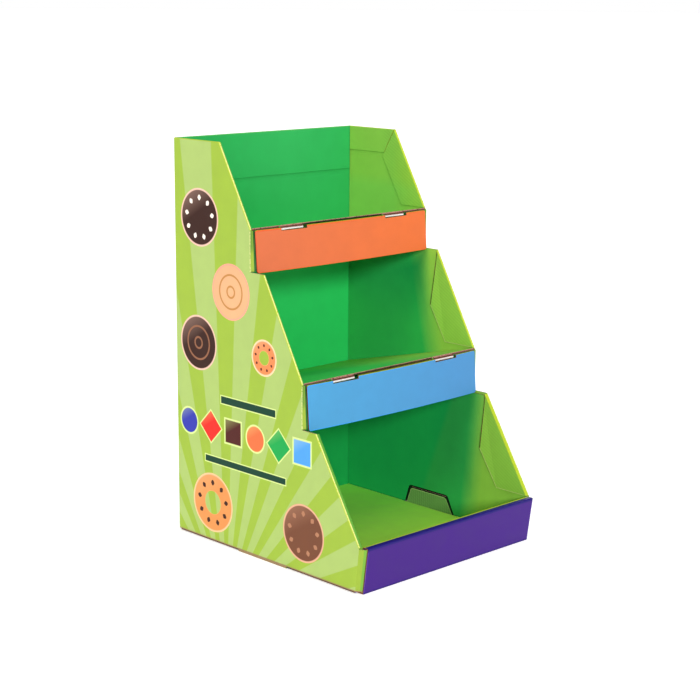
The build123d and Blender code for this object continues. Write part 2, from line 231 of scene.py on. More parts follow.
@dataclass(frozen=True)
class Inks:
    """Inks of the stand: the varnished print as plain light shows it, and painted light and shade.
    """
    # outside of the shell
    lime: str = "#93AE39"
    pale_lime: str = "#A0B765"
    front_lime: str = "#869E33"
    forest: str = "#0A3A28"
    outline: str = "#CFE08C"
    # inside of the tiers: painted light and shade, with the light that the walls throw on each
    # other
    fresh_green: str = "#89BB43"
    moss: str = "#6A9A36"
    emerald: str = "#2CA453"
    left_shade_emerald: str = "#209C4B"
    lit_back_emerald: str = "#29C35E"
    wall_shade_emerald: str = "#1BA247"
    shade_emerald: str = "#169A49"
    deeper_shade_emerald: str = "#0C8843"
    lit_floor_green: str = "#B5E94A"
    floor_back_light: str = "#95F65F"
    shelf_green: str = "#34BE50"
    reflected_shelf_green: str = "#40EA66"
    # rims, tabs, seams and gaps, with painted highlights and shade on rims and tab and painted
    # shade in seams and gaps
    rim: str = "#A6B822"
    inner_rim_shade: str = "#4C9236"
    cream: str = "#D8D28E"
    speck: str = "#7A4034"
    hem_shadow: str = "#2E3A1A"
    shaded_olive: str = "#6C9C50"
    tab_rim_highlight: str = "#A9C67E"
    seam: str = "#0C6A30"
    shelf_seam: str = "#B8867A"
    valley: str = "#0E3B12"
    gap: str = "#0A1F0E"
    recess_shade: str = "#1C5A22"
    # lips and the front of the tray, with painted shading on their folds and edges and across the
    # lips
    orange: str = "#C4643E"
    orange_fold_shading: str = "#D84C18"
    orange_right_shading: str = "#D2642A"
    blue: str = "#438CB9"
    blue_fold_shading: str = "#2490E0"
    blue_right_shading: str = "#4480B4"
    purple: str = "#3B1574"
    violet_shade: str = "#190A66"
    pale_violet: str = "#5A3C9C"
    # liners without ink, and painted shade at the foot
    white: str = "#EDEAE6"
    kraft: str = "#B58A66"
    kraft_edge: str = "#8A6250"
    foot_shade: str = "#4E3324"


INKS = Inks()
KRAFT = KraftLiner()
PALE_EDGE = CutEdge()
DARK_EDGE = CutEdge("#96604E", "#6A4030", "#120806", medium_share=0.13)
MOTIF_STYLE = MotifStyle()

BARS = (((78, 168), (164, 172)), ((50, 184), (93, 100)))    # ends in run, then in height
MOTIFS = (
    Motif(44, 366, 32, "#33170E", "#E3B7A4", "#F1E4D6", Mark.DOTS),
    Motif(96, 290, 31, "#DDA679", "#EE9A82", "#B77F43", Mark.RINGS),
    Motif(40, 226, 31, "#33170E", "#E3B7A4", "#8A5A40", Mark.RINGS),
    Motif(150, 226, 20, "#E8824E", "#F6C9A0", "#5A2E1C", Mark.OPEN),
    Motif(62, 46, 34, "#D98A4C", "#F0B98C", "#3A1D12", Mark.OPEN),
    Motif(212, 46, 32, "#6E412C", "#D9A183", "#A87356", Mark.DOTS),
    Motif(22, 134, 16, "#2F35A0", "#CFE08C", "#2F35A0"),
    Motif(60, 134, 20, "#E1271E", "#CFE08C", "#E1271E", outline=Outline.DIAMOND),
    Motif(98, 134, 15, "#4A1813", "#CFE08C", "#4A1813", outline=Outline.SQUARE),
    Motif(135, 134, 16, "#F26A3C", "#CFE08C", "#F26A3C"),
    Motif(173, 134, 20, "#169B47", "#CFE08C", "#169B47", outline=Outline.DIAMOND),
    Motif(210, 134, 15, "#4A96DE", "#CFE08C", "#4A96DE", outline=Outline.SQUARE),
)


def facing(toward: Triple, beyond: float = 0.6, soft: float = 0.1) -> Limit:
    """Limit on the direction that a face looks in."""
    return Limit(toward, beyond, soft, Measure.FACING)


def between(axis: int, low: float, high: float, soft: float = 0.3) -> tuple[Limit, Limit]:
    """Two limits that keep one coordinate of the place between two values.

    Args:
        axis: 0 for across, 1 for run, 2 for height.
        low: Lower value.
        high: Upper value.
        soft: Width of each edge.

    Returns:
        The two limits.
    """
    up = tuple(1.0 if i == axis else 0.0 for i in range(3))
    down = tuple(-1.0 if i == axis else 0.0 for i in range(3))
    return Limit(up, low, soft), Limit(down, -high, soft)


def stroke(start: tuple[float, float], end: tuple[float, float],
           width: float) -> tuple[Limit, ...]:
    """Limits that keep to a straight line of some width.

    Args:
        start: (run, height) of one end.
        end: (run, height) of the other end.
        width: Width of the line.

    Returns:
        Two limits beside the line and two at its ends.
    """
    length = math.dist(start, end)
    run, height = (end[0] - start[0]) / length, (end[1] - start[1]) / length
    beside = start[0] * height - start[1] * run
    first, last = start[0] * run + start[1] * height, end[0] * run + end[1] * height
    return (Limit((0.0, height, -run), beside - width / 2),
            Limit((0.0, -height, run), -beside - width / 2),
            Limit((0.0, run, height), first), Limit((0.0, -run, -height), -last))


class BoardMaterial:
    """Material of one sheet of board, painted area by area.

    The ink is laid down in the order of the calls: a flood first, then areas, rays and motifs,
    then the cut edges, and at last the bump and the shader.
    """

    def __init__(self, name: str, flood: str, finish: CoatedPrint = CoatedPrint()) -> None:
        """Start the material with a flood of one ink.

        Args:
            name: Name of the material.
            flood: Ink that covers the whole sheet.
            finish: Gloss, mottle and relief of the print.
        """
        self.material = bpy.data.materials.new(name)
        self.material.use_nodes = True
        self.tree = self.material.node_tree
        self.tree.nodes.clear()
        self.finish = finish
        self.ink: Feed = linear(flood)
        self.relief: list[Feed] = []
        self.bare: Feed = 0.0
        self._read_places()

    def add(self, kind: str, links: dict[int | str, Feed] | None = None,
            **settings: object) -> bpy.types.Node:
        """Add a node to this material."""
        return add_node(self.tree, kind, links, **settings)

    def _read_places(self) -> None:
        """Make the place (across, run, height) in millimetres and the facing direction."""
        coords = self.add("TexCoord")
        self.point = self.add("VectorMath", {0: coords.outputs["Object"], 1: (METRE,) * 3},
                              operation="MULTIPLY")
        parts = self.add("SeparateXYZ", {0: self.point})
        across = self.add("Math", {0: parts.outputs["X"]}, operation="ABSOLUTE")
        run = self.add("Math", {0: HALF_DEPTH, 1: parts.outputs["Y"]}, operation="SUBTRACT")
        self.place = self.add("CombineXYZ", {0: across, 1: run, 2: parts.outputs["Z"]})
        self.side_place = self.add("CombineXYZ", {0: 0.0, 1: run, 2: parts.outputs["Z"]})
        normal = self.add("SeparateXYZ", {0: coords.outputs["Normal"]})
        side = self.add("Math", {0: parts.outputs["X"]}, operation="SIGN")
        outward = self.add("Math", {0: normal.outputs["X"], 1: side}, operation="MULTIPLY")
        forward = self.add("Math", {0: normal.outputs["Y"], 1: -1.0}, operation="MULTIPLY")
        self.look = self.add("CombineXYZ", {0: outward, 1: forward, 2: normal.outputs["Z"]})

    def along(self, direction: Triple, of: Measure = Measure.PLACE) -> bpy.types.NodeSocket:
        """Distance along a direction, of the place or of the facing direction."""
        source = {Measure.PLACE: self.place, Measure.FACING: self.look,
                  Measure.POINT: self.point}[of]
        return self.add("VectorMath", {0: source, 1: direction},
                        operation="DOT_PRODUCT").outputs["Value"]

    def both(self, one: Feed, other: Feed) -> Feed:
        """Share of ink where two shares overlap."""
        return self.add("Math", {0: one, 1: other}, operation="MINIMUM")

    def apart(self, one: Feed, other: Feed) -> Feed:
        """Distance between two values."""
        difference = self.add("Math", {0: one, 1: other}, operation="SUBTRACT")
        return self.add("Math", {0: difference}, operation="ABSOLUTE")

    def bearing(self, offset: Feed) -> Feed:
        """Angle of an offset in the printed plane, in radians from straight up."""
        parts = self.add("SeparateXYZ", {0: offset})
        return self.add("Math", {0: parts.outputs["Y"], 1: parts.outputs["Z"]},
                        operation="ARCTAN2")

    def flutes(self, across_flutes: Triple, pitch: float, swing: float) -> Feed:
        """Waves of the medium about a half.

        Args:
            across_flutes: Direction at right angles to the flutes.
            pitch: Length of a wave.
            swing: How far a wave rises and falls.

        Returns:
            The height of the waves at each point.
        """
        phase = self.add("Math", {0: self.along(across_flutes), 1: 2 * math.pi / pitch},
                         operation="MULTIPLY")
        sine = self.add("Math", {0: phase}, operation="SINE")
        return self.add("Math", {0: sine, 1: swing, 2: 0.5}, operation="MULTIPLY_ADD")

    def inside(self, limits: tuple[Limit, ...], cover: float = 1.0) -> Feed:
        """Share of ink, from 0 to the cover, inside several limits.

        Args:
            limits: Limits that the area keeps within.
            cover: Share of ink inside all of them.

        Returns:
            The share of ink at each point.
        """
        share: Feed = cover
        for limit in limits:
            edge = self.add("MapRange", {
                "Value": self.along(limit.toward, limit.of),
                "From Min": limit.beyond - limit.soft / 2,
                "From Max": limit.beyond + limit.soft / 2})
            share = self.both(share, edge)
        return share

    def speckled(self, share: Feed, size: float, sparse: float) -> Feed:
        """Break a share of ink into specks.

        Args:
            share: Share of ink to break up.
            size: Size of the specks.
            sparse: Level of the noise that a speck needs, about 0.5 for half the place.

        Returns:
            The share of ink at each point.
        """
        noise = self.add("TexNoise", {"Vector": self.point, "Scale": 1 / size, "Detail": 1.0})
        specks = self.add("MapRange", {
            "Value": noise.outputs["Fac"],
            "From Min": sparse - SPECK_BLUR, "From Max": sparse + SPECK_BLUR})
        return self.both(share, specks)

    def lay(self, ink: Feed | str, share: Feed) -> None:
        """Lay an ink over what is there, by its share at each point."""
        colour = linear(ink) if isinstance(ink, str) else ink
        self.ink = self.add("Mix", {"Factor": share, "A": self.ink, "B": colour}, data_type="RGBA")

    def paint(self, *areas: Area) -> None:
        """Lay several areas of ink, in order."""
        for area in areas:
            self.lay(area.ink, self.inside(area.limits, area.cover))

    def rays(self, burst: Sunburst, flat: Feed, within: Feed) -> None:
        """Lay evenly spaced rays.

        Args:
            burst: Centre, spacing and ink of the rays.
            flat: Place whose Y and Z lie in the printed plane.
            within: Share of ink that the rays may have.
        """
        offset = self.add("VectorMath", {0: flat, 1: (0.0, burst.run, burst.height)},
                          operation="SUBTRACT")
        start = -burst.count * math.radians(burst.turn)
        turns = self.add("Math", {0: self.bearing(offset), 1: burst.count, 2: start},
                         operation="MULTIPLY_ADD")
        wave = self.add("Math", {0: turns}, operation="COSINE")
        edge = math.cos(math.pi * burst.share)
        ray = self.add("MapRange", {
            "Value": wave, "From Min": edge - burst.blur, "From Max": edge + burst.blur})
        self.lay(burst.ink, self.both(ray, within))

    def motif(self, motif: Motif, flat: Feed, within: Feed) -> None:
        """Lay one motif: its rim, its body with a soft printed shade, and its marks.

        Args:
            motif: Outline, size and inks.
            flat: Place whose Y and Z lie in the printed plane.
            within: Share of ink that the motif may have.
        """
        radius, style = motif.radius, MOTIF_STYLE
        offset = self.add("VectorMath", {0: flat, 1: (0.0, motif.run, motif.height)},
                          operation="SUBTRACT")
        reach = self._reach(motif.outline, offset)
        shape = self.both(within, self.add("MapRange", {
            "Value": reach, "From Min": radius + style.blur, "From Max": radius - style.blur}))
        if motif.mark is Mark.OPEN:
            opening = style.opening * radius
            shape = self.both(shape, self.add("MapRange", {
                "Value": reach, "From Min": opening - style.blur,
                "From Max": opening + style.blur}))
        self.lay(motif.rim, shape)
        inner = radius - style.rim
        body = self.both(shape, self.add("MapRange", {
            "Value": reach, "From Min": inner + style.rim_blur,
            "From Max": inner - style.rim_blur}))
        self.lay(motif.body, body)
        slope = self.add("VectorMath", {0: offset, 1: style.shaded_side},
                         operation="DOT_PRODUCT").outputs["Value"]
        shade = self.add("MapRange", {
            "Value": slope, "From Min": style.shade_start * radius, "From Max": radius,
            "To Max": style.shade})
        self.lay(motif.rim, self.both(body, shade))
        if motif.mark is not Mark.PLAIN:
            self.lay(motif.mark_ink, self.both(body, self._marks(motif, offset, reach)))

    def _reach(self, outline: Outline, offset: Feed) -> Feed:
        """Distance from the centre of a motif, as its outline counts it.

        Args:
            outline: Disc, square or diamond.
            offset: Place about the centre.

        Returns:
            The distance, which is the motif's radius on its outline.
        """
        if outline is Outline.DISC:
            return self.add("VectorMath", {0: offset}, operation="LENGTH").outputs["Value"]
        sizes = self.add("VectorMath", {0: offset}, operation="ABSOLUTE")
        parts = self.add("SeparateXYZ", {0: sizes})
        return self.add("Math", {0: parts.outputs["Y"], 1: parts.outputs["Z"]},
                        operation="MAXIMUM" if outline is Outline.SQUARE else "ADD")

    def _marks(self, motif: Motif, offset: Feed, reach: Feed) -> Feed:
        """Share of ink of the rings or dots inside a motif.

        Args:
            motif: Size and kind of marks.
            offset: Place about the centre.
            reach: Distance from the centre.

        Returns:
            The share of ink at each point.
        """
        radius, style = motif.radius, MOTIF_STYLE
        if motif.mark is Mark.RINGS:
            spacing = radius / style.rings
            folded = self.add("Math", {0: reach, 1: spacing}, operation="PINGPONG")
            return self.add("MapRange", {
                "Value": folded, "From Min": spacing - style.ring - style.ring_blur,
                "From Max": spacing - style.ring + style.ring_blur})
        turns = self.add("Math", {0: self.bearing(offset), 1: style.dots}, operation="MULTIPLY")
        petals = self.add("Math", {0: turns}, operation="COSINE")
        belt = self.add("Math", {0: self.apart(reach, style.belt * radius), 1: -1.0},
                        operation="MULTIPLY")
        value = self.add("Math", {0: petals, 1: style.swell * radius, 2: belt},
                         operation="MULTIPLY_ADD")
        edge = style.spacing * radius
        return self.add("MapRange", {
            "Value": value, "From Min": edge, "From Max": edge + style.dot_blur})

    def cut(self, edge: CutEdge, share: Feed, along: Triple, through: Triple,
            start: float) -> None:
        """Draw the cut edge of the board: its liners and the waves of its medium.

        Args:
            edge: Colours and sizes of the cut edge.
            share: Where the edge is seen.
            along: Direction along the edge.
            through: Direction through the board.
            start: Distance along that direction at which one liner starts.
        """
        depth = self.add("Math", {0: self.along(through), 1: start}, operation="SUBTRACT")
        depth = self.add("Math", {0: depth, 1: edge.board}, operation="DIVIDE")
        depth = self.add("Math", {0: depth}, operation="FRACT")
        wave = self.flutes(along, edge.pitch, edge.swing)
        medium = self.add("MapRange", {
            "Value": self.apart(depth, wave), "From Min": edge.medium_share,
            "From Max": edge.crisp * edge.medium_share})
        inner = 0.5 - edge.liner_share
        liner = self.add("MapRange", {
            "Value": self.apart(depth, 0.5), "From Min": inner,
            "From Max": inner + edge.liner_blur})
        colour: Feed = linear(edge.cell)
        for ink, cover in ((edge.medium, medium), (edge.liner, liner)):
            colour = self.add("Mix", {"Factor": cover, "A": colour, "B": linear(ink)},
                              data_type="RGBA")
        self.lay(colour, share)
        self.bare = self.add("Math", {0: self.bare, 1: share}, operation="MAXIMUM")
        paper = self.both(share, self.add("Math", {0: medium, 1: liner}, operation="MAXIMUM"))
        self.relief.append(self.add("Math", {0: paper, 1: edge.relief}, operation="MULTIPLY"))

    def washboard(self, across_flutes: Triple, share: Feed = 1.0, tint: float = 0.0,
                  valley: str = INKS.valley) -> None:
        """Let the flutes show through the liner as fine ridges, and as a faint painted shade in the
        valleys.

        Args:
            across_flutes: Direction at right angles to the flutes.
            share: Where they show.
            tint: How much darker the ink is in the valleys.
            valley: Colour that the valleys tend to.
        """
        wave = self.flutes(across_flutes, CutEdge.pitch, 0.5)
        ridge = self.add("Math", {0: wave, 1: share}, operation="MULTIPLY")
        self.relief.append(self.add("Math", {0: ridge, 1: self.finish.washboard},
                                    operation="MULTIPLY"))
        if tint:
            self.lay(valley, self.add("Math", {0: ridge, 1: tint}, operation="MULTIPLY"))

    def bare_kraft(self, liner: KraftLiner, share: Feed, across_flutes: Triple) -> None:
        """Fleck the unprinted liner with fibres, and let its flutes show a little more.

        Args:
            liner: Colours and sizes of the flecks.
            share: Where the liner is bare.
            across_flutes: Direction at right angles to the flutes.
        """
        for ink, size, level, cover in liner.flecks:
            self.lay(ink, self.both(self.speckled(share, size, level), cover))
        self.washboard(across_flutes, share, liner.tint, liner.valley)

    def close(self) -> bpy.types.Material:
        """Add the mottle of the ink, the fibres of the paper, the bump and the shader.

        Returns:
            The finished material.
        """
        finish = self.finish
        cloud = self.add("TexNoise", {"Vector": self.point, "Scale": 1 / finish.mottle_size,
                                      "Detail": 4.0, "Roughness": 0.6})
        value = self.add("MapRange", {
            "Value": cloud.outputs["Fac"], **NOISE_RANGE,
            "To Min": 1 - finish.mottle, "To Max": 1 + finish.mottle})
        colour = self.add("Mix", {"Factor": 1.0, "A": self.ink, "B": value}, data_type="RGBA",
                          blend_type="MULTIPLY")
        fibre = self.add("TexNoise", {"Vector": self.point, "Scale": finish.fibre_scale,
                                      "Detail": 3.0})
        height: Feed = self.add("Math", {0: fibre.outputs["Fac"], 1: finish.fibre},
                                operation="MULTIPLY")
        for relief in self.relief:
            height = self.add("Math", {0: height, 1: relief}, operation="ADD")
        bump = self.add("Bump", {"Strength": 1.0, "Distance": 1 / METRE, "Height": height})
        sheen = self.add("MapRange", {
            "Value": cloud.outputs["Fac"], **NOISE_RANGE,
            "To Min": finish.roughness - finish.roughness_change,
            "To Max": finish.roughness + finish.roughness_change})
        rough = self.add("Mix", {"Factor": self.bare, "A": sheen, "B": finish.cut_roughness},
                         data_type="FLOAT")
        shader = self.add("BsdfPrincipled", {
            "Base Color": colour, "Roughness": rough, "IOR": finish.ior, "Normal": bump,
            "Specular IOR Level": finish.specular,
            "Coat Weight": finish.varnish, "Coat Roughness": finish.varnish_roughness})
        self.add("OutputMaterial", {"Surface": shader})
        return self.material


def wear(node: bpy.types.Object, material: bpy.types.Material) -> None:
    """Put a material in each slot of a node's object.

    Args:
        node: Object of the sheet.
        material: Material that it gets.
    """
    if not node.material_slots:
        node.data.materials.append(material)
    for slot in node.material_slots:
        slot.material = material
    LOG.info("%s wears %s", node.name, material.name)


@dataclass(frozen=True)
class OuterShell:
    """Outer shell of one printed sheet: stepped side panels, back, hems, corner flaps and tabs."""
    node: str = "outer_shell"
    half_width: float = 135.0
    board: float = 1.6
    foot: float = 2.2           # lower edge of the panels
    slant: Triple = (0.0, 0.868, 0.497)
    rims: tuple[Triple, ...] = (    # of each tier: distance along the slant, lower and upper end
        (289.2, 361.0, 450.0), (286.6, 207.0, 315.0), (278.9, 51.0, 158.0))
    folds: tuple[Triple, ...] = (   # upright front edges: lower end, upper end and run
        (316.0, 359.0, 129.0), (160.0, 205.0, 210.5))
    hem_ends: tuple[tuple[tuple[float, float], ...], ...] = (
        ((149.8, 315.0), (142.1, 249.9), (165.1, 208.7), (206.0, 208.7)),
        ((230.8, 158.0), (225.7, 93.6), (251.7, 51.0), (293.0, 51.0)))
    tab_sides: tuple[tuple[Triple, float], ...] = (
        (DOWN, -22.0), ((0.0, 0.94, -0.342), 99.17), ((0.0, -0.868, -0.497), -160.3),
        ((0.0, -0.5, -0.866), -103.9), ((0.0, 0.574, -0.819), 48.5))

    def dress(self, node: bpy.types.Object) -> None:
        """Print the shell: sunburst and motifs outside, greens with painted light and shade inside,
        pale worn rims with painted highlights.

        Args:
            node: Object of the shell.
        """
        board = BoardMaterial("offset_printed_E_flute_shell", INKS.lime)
        self._print_outside(board)
        self._print_inside(board)
        self._print_tab(board)
        self._line_hems(board)
        self._highlight_worn_rims(board)
        self._cut_edges(board)
        board.washboard(FORWARD, 0.6)
        hems = board.inside((facing(INWARD, 0.5), Limit(INWARD, -132.6),
                             Limit(FORWARD, 60.0, 10.0)))
        board.washboard((0.0, 0.509, 0.861), hems, 0.10)
        wear(node, board.close())

    def _print_outside(self, board: BoardMaterial) -> None:
        """Print rays, bars and motifs on the side panels, and rays on the back.

        Args:
            board: Material of the shell.
        """
        outside = board.inside((facing(OUTWARD), Limit(OUTWARD, self.half_width - 1.0)))
        board.rays(Sunburst(INKS.pale_lime, 84.0), board.side_place, outside)
        for run, height in BARS:
            for ink, border in ((INKS.outline, 1.2), (INKS.forest, 0.0)):
                limits = (*between(1, run[0] - border, run[1] + border),
                          *between(2, height[0] - border, height[1] + border))
                board.lay(ink, board.both(outside, board.inside(limits)))
        for motif in MOTIFS:
            board.motif(motif, board.side_place, outside)
        rear = board.inside((facing(BACKWARD), Limit(BACKWARD, -0.9)))
        parts = board.add("SeparateXYZ", {0: board.point})
        rear_place = board.add("CombineXYZ", {1: parts.outputs["X"], 2: parts.outputs["Z"]})
        board.rays(Sunburst(INKS.pale_lime, 0.0, turn=0.0), rear_place, rear)

    def _print_inside(self, board: BoardMaterial) -> None:
        """Print the walls and the back green with painted light and shade, and the corner flaps
        behind the fronts in painted shade.

        Args:
            board: Material of the shell.
        """
        wall = facing(INWARD, 0.5)
        lower = Limit(DOWN, -317.0, 6.0)            # the two lower tiers
        back = (facing(FORWARD, 0.95), Limit(BACKWARD, -3.7))
        front = facing(FORWARD, 0.25, 0.2)
        flap = (front, Limit(INWARD, -132.0))
        board.paint(
            Area(INKS.fresh_green, (wall,)),
            # shade at the back of the walls, deepest in the middle tier
            Area(INKS.wall_shade_emerald, (
                wall, lower, Limit((0.0, -0.976, -0.217), -182.9, 34.0)), 0.95),
            Area(INKS.deeper_shade_emerald, (
                wall, lower, Limit(UP, 262.0, 80.0), Limit((0.0, 0.34, -0.94), -246.0, 30.0),
                Limit(BACKWARD, -126.0, 24.0)), 0.95),
            # light that the sheets around throw on the walls
            Area(INKS.rim, (wall, Limit(UP, 405.0, 50.0)), 0.3),
            Area(INKS.moss, (wall, Limit(DOWN, -160.0, 6.0)), 0.3),
            Area(INKS.emerald, (wall, Limit(BACKWARD, -50.0, 130.0)), 0.3),
            Area(INKS.emerald, back),
            # painted shade: the back wall darker towards the left
            Area(INKS.left_shade_emerald, (*back, Limit(INWARD, 20.0, 120.0, Measure.POINT))),
            # painted light: the back wall lighter in the two lower tiers
            Area(INKS.lit_back_emerald, (*back, Limit(DOWN, -320.0))),
            # corner flaps in painted shade: dark behind the upper lips, lighter behind the tray's
            # front
            Area(INKS.recess_shade, (*flap, Limit(FORWARD, 100.0))),
            Area(INKS.moss, (*flap, Limit(FORWARD, 280.0))),
            Area(INKS.front_lime, (front, Limit(OUTWARD, 131.9), Limit(FORWARD, 100.0))),
            # painted shade along the corners of the back
            Area(INKS.seam, (facing(FORWARD, 0.95), Limit(OUTWARD, 132.6, 0.5)), 0.5))

    def _print_tab(self, board: BoardMaterial) -> None:
        """Paint the locking tab: its lime print darker with painted shade, a painted highlight
        along its border, and painted shade in its slot.

        Args:
            board: Material of the shell.
        """
        slot = (Limit(OUTWARD, 131.2), facing(INWARD, -0.5, 1.0), Limit(INWARD, -133.6),
                Limit(DOWN, -30.0), *between(1, 96.0, 194.0))
        tab = (facing(INWARD, 0.5), Limit(INWARD, -131.8), Limit(DOWN, -26.0))
        board.paint(Area(INKS.gap, slot), Area(INKS.gap, tab))
        for ink, inset in ((INKS.tab_rim_highlight, 1.7), (INKS.shaded_olive, 2.3)):
            sides = (Limit(toward, beyond + inset) for toward, beyond in self.tab_sides)
            board.paint(Area(ink, (*tab, *sides)))
        board.washboard(FORWARD, board.inside((*tab, Limit(DOWN, -19.5))), 0.28)

    def _line_hems(self, board: BoardMaterial) -> None:
        """Draw the cut ends of the slanted hems: the upper one as a painted shadow line speckled
        with bare board, the lower one pale.

        Args:
            board: Material of the shell.
        """
        inner = (facing(INWARD, 0.5), Limit(INWARD, -132.9), Limit(OUTWARD, 126.0))
        for start, corner, low, end in self.hem_ends:
            upper = board.inside((*inner, *stroke(start, corner, 1.7)))
            board.lay(INKS.hem_shadow, upper)
            board.lay(INKS.speck, board.speckled(upper, 0.9, 0.53))
            for line in (stroke(corner, low, 1.1), stroke(low, end, 1.1)):
                board.lay(INKS.cream, board.inside((*inner, *line), 0.45))

    def _highlight_worn_rims(self, board: BoardMaterial) -> None:
        """Lighten the folded-over rims with painted highlights, and with paper where the ink is
        stretched and split.

        Args:
            board: Material of the shell.
        """
        left, right = (Limit(side, 0.0, of=Measure.POINT) for side in (INWARD, OUTWARD))
        for beyond, low, high in self.rims:
            rim = (Limit(self.slant, beyond - 2 * self.board), Limit(OUTWARD, 128.0),
                   *between(2, low, high))
            crown = facing(self.slant, 0.4, 0.4)
            board.paint(
                # painted highlight on the worn crowns, and painted shade on the inner half of the
                # left rims
                Area(INKS.rim, (crown, *rim), 0.9),
                Area(INKS.inner_rim_shade, (crown, left, Limit(INWARD, -133.2, 0.8), *rim), 0.9))
            crest = (facing(self.slant, 0.8, 0.2), Limit(OUTWARD, 133.3), *rim)
            # cream crests: ink split to the paper, brightened by a painted highlight
            for side, sparse, outer in ((left, 0.40, 135.5), (right, 0.50, 134.1)):
                crest_highlight_and_splits = board.inside((side, Limit(INWARD, -outer), *crest), 0.8)
                board.lay(INKS.cream, board.speckled(crest_highlight_and_splits, 1.2, sparse))
        board.paint(
            Area(INKS.rim, (facing(UP, 0.45, 0.5), Limit(UP, 447.5), Limit(OUTWARD, 131.0)), 0.6),
            Area(INKS.emerald, (facing(UP, 0.3, 0.4), Limit(UP, 447.0),
                                Limit(INWARD, -131.8)), 0.8))
        front = (facing(OUTWARD), Limit(OUTWARD, self.half_width - 1.0))
        # cream along the upright front folds: ink split to the paper, with a painted highlight
        for low, high, run in self.folds:
            fold = board.inside((*front, *between(2, low, high),
                                 *between(1, run - 1.4, run + 0.2)), 0.8)
            board.lay(INKS.cream, board.speckled(fold, 2.5, 0.48))
        board.paint(Area(INKS.kraft_edge, (facing(OUTWARD), Limit(DOWN, -self.foot - 1.3)), 0.85))

    def _cut_edges(self, board: BoardMaterial) -> None:
        """Show the cut board at the steps, the bottom and the edges of the hems.

        Args:
            board: Material of the shell.
        """
        flat = (facing(INWARD, -0.3), facing(BACKWARD, -0.95, 0.04))
        steps = board.inside((*flat, facing(UP, 0.9), Limit(DOWN, -440.0)))
        under = board.inside((*flat, facing(DOWN, 0.9)))
        hems = board.inside((*flat, Limit(INWARD, -133.5), Limit(OUTWARD, 126.0),
                             Limit(FORWARD, 5.0), facing(BACKWARD, 0.3)))
        for share in (steps, under, hems):
            board.cut(PALE_EDGE, share, (0.0, 1.0, -0.5), INWARD, -self.half_width)


@dataclass(frozen=True)
class BaseTray:
    """Base tray of one sheet: floor, walls and a purple front that rolls over."""
    node: str = "base_tray"
    front_run: float = 305.6
    front_top: float = 51.0
    front_start: float = 288.0  # run behind which nothing belongs to the front
    roll: float = 299.9         # run of the fold at the top of the front
    rearward: Triple = (0.0, -0.996, 0.09)

    def dress(self, node: bpy.types.Object) -> None:
        """Print the tray: green inside, purple front, brown kraft liner underneath.

        Args:
            node: Object of the tray.
        """
        board = BoardMaterial("offset_printed_E_flute_tray", INKS.fresh_green)
        self._print_inside(board)
        self._print_front(board)
        ends = board.inside((facing(OUTWARD, 0.8), Limit(INWARD, -130.6), Limit(FORWARD, 284.0)))
        board.cut(DARK_EDGE, ends, UP, (0.0, 1.0, -0.1), self.front_run - 5.0)
        tops = board.inside((facing(UP, 0.8), Limit(UP, 60.0)))
        board.cut(DARK_EDGE, tops, FORWARD, INWARD, -133.1)
        board.washboard(FORWARD, 0.5)
        board.bare_kraft(KRAFT, board.inside((facing(DOWN, 0.8),)), FORWARD)
        wear(node, board.close())

    def _print_inside(self, board: BoardMaterial) -> None:
        """Print the walls and the floor green, with painted shade towards the back, in the seams
        and in the slot, painted light on the floor, and leave kraft below.

        Args:
            board: Material of the tray.
        """
        floor = (facing(UP, 0.8), Limit(DOWN, -20.0))
        board.paint(
            # painted light that the sheets around throw on the walls
            Area(INKS.moss, (facing(INWARD, 0.5),), 0.3),
            # painted shade towards the back, deeper near its front edge, and faint painted light
            # where it ends
            Area(INKS.shade_emerald, (Limit(self.rearward, -206.7, 30.0),)),
            Area(INKS.deeper_shade_emerald, (Limit(self.rearward, -197.0, 26.0),
                                     Limit(FORWARD, 165.0, 50.0), Limit(UP, 55.0, 60.0)), 0.75),
            Area(INKS.moss, (Limit((0.0, 0.94, -0.34), 150.0, 70.0),
                             Limit(BACKWARD, -225.0, 20.0)), 0.1),
            Area(INKS.foot_shade, (facing(OUTWARD, 0.8), Limit(DOWN, -6.0))),
            # painted light: the floor lighter than the walls, and lighter still towards the back
            Area(INKS.lit_floor_green, floor),
            Area(INKS.floor_back_light, (*floor, Limit(BACKWARD, -150.0, 200.0)), 0.8),
            # painted shade in the slot round the tab and along the seams
            Area(INKS.gap, (Limit(OUTWARD, 131.2), facing(OUTWARD, -0.5), Limit(DOWN, -30.0),
                            *between(1, 100.0, 190.0))),
            Area(INKS.seam, (facing(INWARD, 0.8), Limit(DOWN, -2.5, 0.6)), 0.6),
            Area(INKS.seam, (facing(FORWARD, 0.8), Limit(BACKWARD, -6.0),
                             Limit(OUTWARD, 130.5, 0.5)), 0.5),
            Area(INKS.kraft, (facing(DOWN, 0.8), Limit(DOWN, -3.0))))

    def _print_front(self, board: BoardMaterial) -> None:
        """Print the front purple, with painted shade in darker purple along its folded top and its
        foot, and paler purple at its ends.

        Args:
            board: Material of the tray.
        """
        front = (facing(FORWARD, 0.35, 0.3), Limit(FORWARD, self.front_start))
        top = self.front_top
        board.paint(
            Area(INKS.fresh_green, (facing(BACKWARD), Limit(FORWARD, 250.0))),
            Area(INKS.purple, front),
            Area(INKS.violet_shade, (*front, Limit(UP, top - 3.0, 1.4))),
            Area(INKS.violet_shade, (*front, Limit(DOWN, -1.6, 0.8)), 0.8),
            Area(INKS.pale_violet, (*front, Limit(OUTWARD, 129.6, 0.8), Limit(DOWN, 4.0 - top))),
            Area(INKS.violet_shade, (facing(UP, 0.35, 0.3), Limit(UP, top - 4.0),
                               Limit(FORWARD, self.roll))),
            Area(INKS.rim, (facing(UP), Limit(UP, top - 2.0), *between(1, 296.0, self.roll))))


